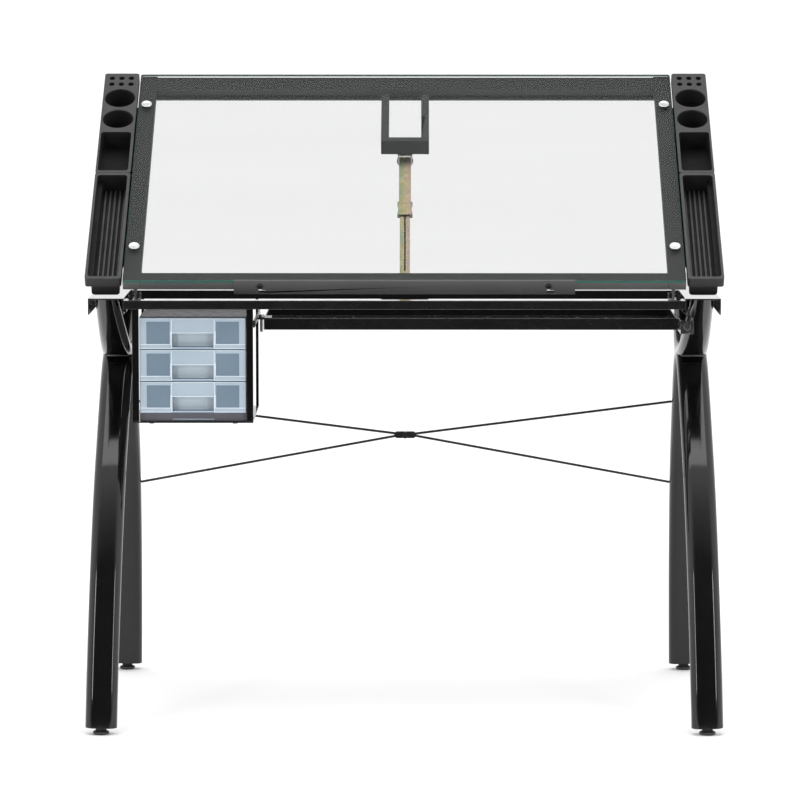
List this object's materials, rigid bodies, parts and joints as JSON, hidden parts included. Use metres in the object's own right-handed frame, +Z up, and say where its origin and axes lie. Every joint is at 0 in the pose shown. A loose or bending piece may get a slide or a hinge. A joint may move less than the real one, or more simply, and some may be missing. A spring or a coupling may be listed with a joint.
{
  "type": "drafting table",
  "caption": "Glass-topped drafting table with a tilting work surface, curved tube legs, side trays, a hanging drawer unit and a ratchet support.",
  "frame": {"origin": "on the floor, under the centre of the feet", "axes": "+X to the user's right, +Y towards the raised back edge, +Z up"},
  "size_m": [1.0984, 0.6664, 1.1175],
  "materials": {
    "gloss_black": "gloss",
    "bright_steel": "polished",
    "smoked_plastic": "satin",
    "yellow_zinc": "iridescent zinc plate",
    "satin_grey": "satin",
    "glass": "clear",
    "chrome": "brushed",
    "tray_plastic": "matte",
    "foot_black": "satin",
    "loop_black": "satin",
    "frosted_plastic": "frosted"
  },
  "bodies": {
    "stand": {"leg_front_left": "gloss_black", "leg_back_left": "gloss_black", "leg_front_right": "gloss_black", "leg_back_right": "gloss_black", "arm_front_left": "gloss_black", "arm_back_left": "gloss_black", "arm_front_right": "gloss_black", "arm_back_right": "gloss_black", "side_channel_left": "gloss_black", "side_channel_right": "gloss_black", "front_rail": "gloss_black", "middle_rail": "gloss_black", "rear_rail": "gloss_black", "under_shelf": "gloss_black", "shelf_bracket_left": "gloss_black", "shelf_bracket_right": "bright_steel", "shelf_bolt_left": "bright_steel", "shelf_bolt_right": "bright_steel", "brace_rod_a": "gloss_black", "brace_rod_b": "gloss_black", "brace_bolt": "gloss_black", "hinge_bracket_left": "gloss_black", "hinge_bracket_right": "gloss_black", "hinge_bolt_left": "bright_steel", "hinge_bolt_right": "bright_steel", "rack_post_front_left": "gloss_black", "rack_post_back_left": "gloss_black", "rack_post_front_right": "gloss_black", "rack_post_back_right": "gloss_black", "rack_shelf": "gloss_black", "drawer_cabinet": "smoked_plastic", "ratchet_bracket": "yellow_zinc", "ratchet_pin": "yellow_zinc"},
    "tabletop": {"top_frame_left": "satin_grey", "top_frame_right": "satin_grey", "top_frame_front": "satin_grey", "top_frame_back": "satin_grey", "glass_top": "glass", "glass_bolt_front_left": "chrome", "glass_bolt_back_left": "chrome", "glass_bolt_front_right": "chrome", "glass_bolt_back_right": "chrome", "ledge_screw_left": "gloss_black", "ledge_screw_right": "gloss_black", "support_loop": "loop_black", "strap_bracket": "yellow_zinc"},
    "ledge": {"pencil_ledge": "satin_grey"},
    "ratchet_arm": {"ratchet_arm": "yellow_zinc"},
    "ratchet_strap": {"ratchet_strap": "yellow_zinc"},
    "drawer_top": {"drawer_top": "frosted_plastic"},
    "drawer_middle": {"drawer_middle": "frosted_plastic"},
    "drawer_bottom": {"drawer_bottom": "frosted_plastic"},
    "tray_front_left": {"tray_front_left": "tray_plastic"},
    "foot_front_left": {"foot_front_left": "foot_black"},
    "tray_front_right": {"tray_front_right": "tray_plastic"},
    "foot_front_right": {"foot_front_right": "foot_black"},
    "tray_back_left": {"tray_back_left": "tray_plastic"},
    "foot_back_left": {"foot_back_left": "foot_black"},
    "tray_back_right": {"tray_back_right": "tray_plastic"},
    "foot_back_right": {"foot_back_right": "foot_black"}
  },
  "joints": [
    {"name": "top_tilt", "type": "hinge", "parent": "stand", "child": "tabletop", "pos_m": [0, -0.2391, 0.7499], "axis": [1, 0, 0], "range_deg": [-33.45, 1.5]},
    {"name": "ratchet_arm_swing", "type": "hinge", "parent": "stand", "child": "ratchet_arm", "pos_m": [0, -0.04, 0.756], "axis": [1, 0, 0], "range_deg": [-60, 4]},
    {"name": "ratchet_strap_slide", "type": "slide", "parent": "ratchet_arm", "child": "ratchet_strap", "axis": [0, 0.5589, 0.8293], "range_m": [-0.06, 0.004]},
    {"name": "ledge_slide", "type": "slide", "parent": "tabletop", "child": "ledge", "axis": [0, -0.5512, 0.8344], "range_m": [0, 0.012]},
    {"name": "drawer_top_slide", "type": "slide", "parent": "stand", "child": "drawer_top", "axis": [0, -1, 0], "range_m": [0, 0.24]},
    {"name": "drawer_middle_slide", "type": "slide", "parent": "stand", "child": "drawer_middle", "axis": [0, -1, 0], "range_m": [0, 0.24]},
    {"name": "drawer_bottom_slide", "type": "slide", "parent": "stand", "child": "drawer_bottom", "axis": [0, -1, 0], "range_m": [0, 0.24]},
    {"name": "tray_front_left_lift", "type": "slide", "parent": "tabletop", "child": "tray_front_left", "axis": [0, -0.5512, 0.8344], "range_m": [0, 0.05]},
    {"name": "tray_front_right_lift", "type": "slide", "parent": "tabletop", "child": "tray_front_right", "axis": [0, -0.5512, 0.8344], "range_m": [0, 0.05]},
    {"name": "tray_back_left_lift", "type": "slide", "parent": "tabletop", "child": "tray_back_left", "axis": [0, -0.5512, 0.8344], "range_m": [0, 0.05]},
    {"name": "tray_back_right_lift", "type": "slide", "parent": "tabletop", "child": "tray_back_right", "axis": [0, -0.5512, 0.8344], "range_m": [0, 0.05]},
    {"name": "foot_front_left_height", "type": "slide", "parent": "stand", "child": "foot_front_left", "axis": [0, 0, -1], "range_m": [0, 0.01]},
    {"name": "foot_front_right_height", "type": "slide", "parent": "stand", "child": "foot_front_right", "axis": [0, 0, -1], "range_m": [0, 0.01]},
    {"name": "foot_back_left_height", "type": "slide", "parent": "stand", "child": "foot_back_left", "axis": [0, 0, -1], "range_m": [0, 0.01]},
    {"name": "foot_back_right_height", "type": "slide", "parent": "stand", "child": "foot_back_right", "axis": [0, 0, -1], "range_m": [0, 0.01]}
  ],
  "couplings": [
    {"joint": "ratchet_arm_swing", "follows": "top_tilt", "ratio": 1.735},
    {"joint": "ratchet_strap_slide", "follows": "top_tilt", "m_per_rad": 0.098}
  ]
}
